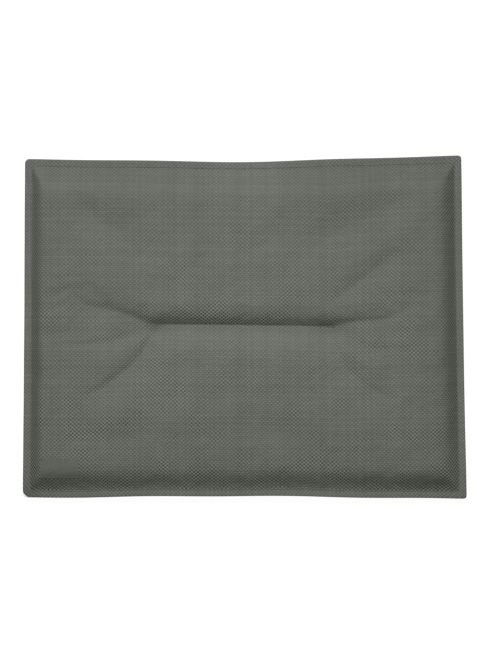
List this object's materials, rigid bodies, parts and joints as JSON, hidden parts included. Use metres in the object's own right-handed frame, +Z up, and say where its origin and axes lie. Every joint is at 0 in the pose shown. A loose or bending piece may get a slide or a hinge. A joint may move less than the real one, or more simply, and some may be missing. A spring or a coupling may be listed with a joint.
{
  "type": "outdoor kneeling pad",
  "caption": "Thin rectangular kneeling pad: a padded bag of woven mesh with a flat stitched flange and a short seam through its middle.",
  "frame": {"origin": "middle of the underside, on the surface the pad lies on", "axes": "+X along the pad's width (its longest side), +Y towards the back edge, away from the label, +Z up, out of the face that is knelt on"},
  "size_m": [0.382, 0.294, 0.0205],
  "materials": {
    "mesh_fabric": "dark grey-green coated plain weave, matt",
    "wadding": "white loose fibre",
    "foam": "soft open-cell foam",
    "thread": "dark grey-green polyester thread",
    "label": "smooth pressed patch, left blank"
  },
  "bodies": {
    "root": {"top_cover": "mesh_fabric", "bottom_cover": "mesh_fabric", "top_wadding": "wadding", "foam_core": "foam", "bottom_wadding": "wadding", "edge_needle_thread": "thread", "edge_bobbin_thread": "thread", "centre_needle_thread": "thread", "centre_bobbin_thread": "thread", "closing_seam_thread": "thread", "label_patch": "label"}
  },
  "joints": []
}
